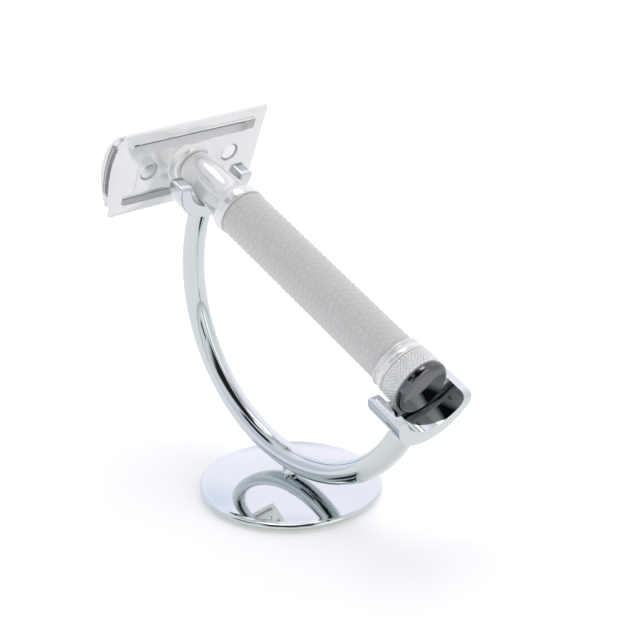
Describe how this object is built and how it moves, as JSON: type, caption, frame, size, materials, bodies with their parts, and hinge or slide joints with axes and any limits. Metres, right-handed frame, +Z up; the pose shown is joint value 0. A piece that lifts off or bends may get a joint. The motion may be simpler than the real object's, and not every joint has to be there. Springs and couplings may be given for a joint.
{
  "type": "safety razor with stand",
  "caption": "Double-edge safety razor with a textured grip, lying in two open cradles on a chrome half-ring arm over a round base.",
  "frame": {"origin": "centre of the stand's underside, on the surface it stands on", "axes": "+Z up; +X level, from the razor's head towards the end of its handle; Y along the blade"},
  "size_m": [0.0898, 0.0442, 0.086],
  "materials": {
    "chrome": "mirror-polished chrome plate",
    "razor_chrome": "pale polished chrome plate",
    "black_chrome": "polished black chrome plate",
    "blade_steel": "fine ground stainless steel",
    "steel": "turned steel",
    "brass": "machined brass",
    "grip": "matt grey with fine raised ticks",
    "rubber_pad": "matt black non-slip"
  },
  "bodies": {
    "stand": {"stand_base": "chrome", "base_pad": "rubber_pad", "base_screw": "steel", "post": "chrome", "arm": "chrome", "neck_cradle": "chrome", "foot_cradle": "chrome"},
    "handle": {"neck": "razor_chrome", "neck_bush": "brass", "handle_core": "brass", "grip_sleeve": "grip", "end_ring": "razor_chrome", "knurled_knob": "razor_chrome", "end_cap": "black_chrome", "tie_rod": "steel"},
    "guard_plate": {"base_plate": "razor_chrome"},
    "cap": {"cap": "razor_chrome", "cap_stud": "steel", "cap_pin_left": "steel", "cap_pin_right": "steel"},
    "blade": {"blade": "blade_steel"}
  },
  "joints": [
    {"name": "razor_lift", "type": "slide", "parent": "stand", "child": "handle", "axis": [0.4003, 0, 0.9164], "range_m": [0, 0.035]},
    {"name": "head_turn", "type": "hinge", "parent": "handle", "child": "guard_plate", "pos_m": [-0.0354, 0, 0.0752], "axis": [-0.9164, 0, 0.4003], "range_deg": [0, 2520]},
    {"name": "cap_lift", "type": "slide", "parent": "guard_plate", "child": "cap", "axis": [-0.9164, 0, 0.4003], "range_m": [0, 0.00561]},
    {"name": "blade_lift", "type": "slide", "parent": "guard_plate", "child": "blade", "axis": [-0.9164, 0, 0.4003], "range_m": [0, 0.00281]}
  ],
  "couplings": [
    {"joint": "cap_lift", "follows": "head_turn", "m_per_rad": 0.00012732},
    {"joint": "blade_lift", "follows": "head_turn", "m_per_rad": 0.000063662}
  ]
}
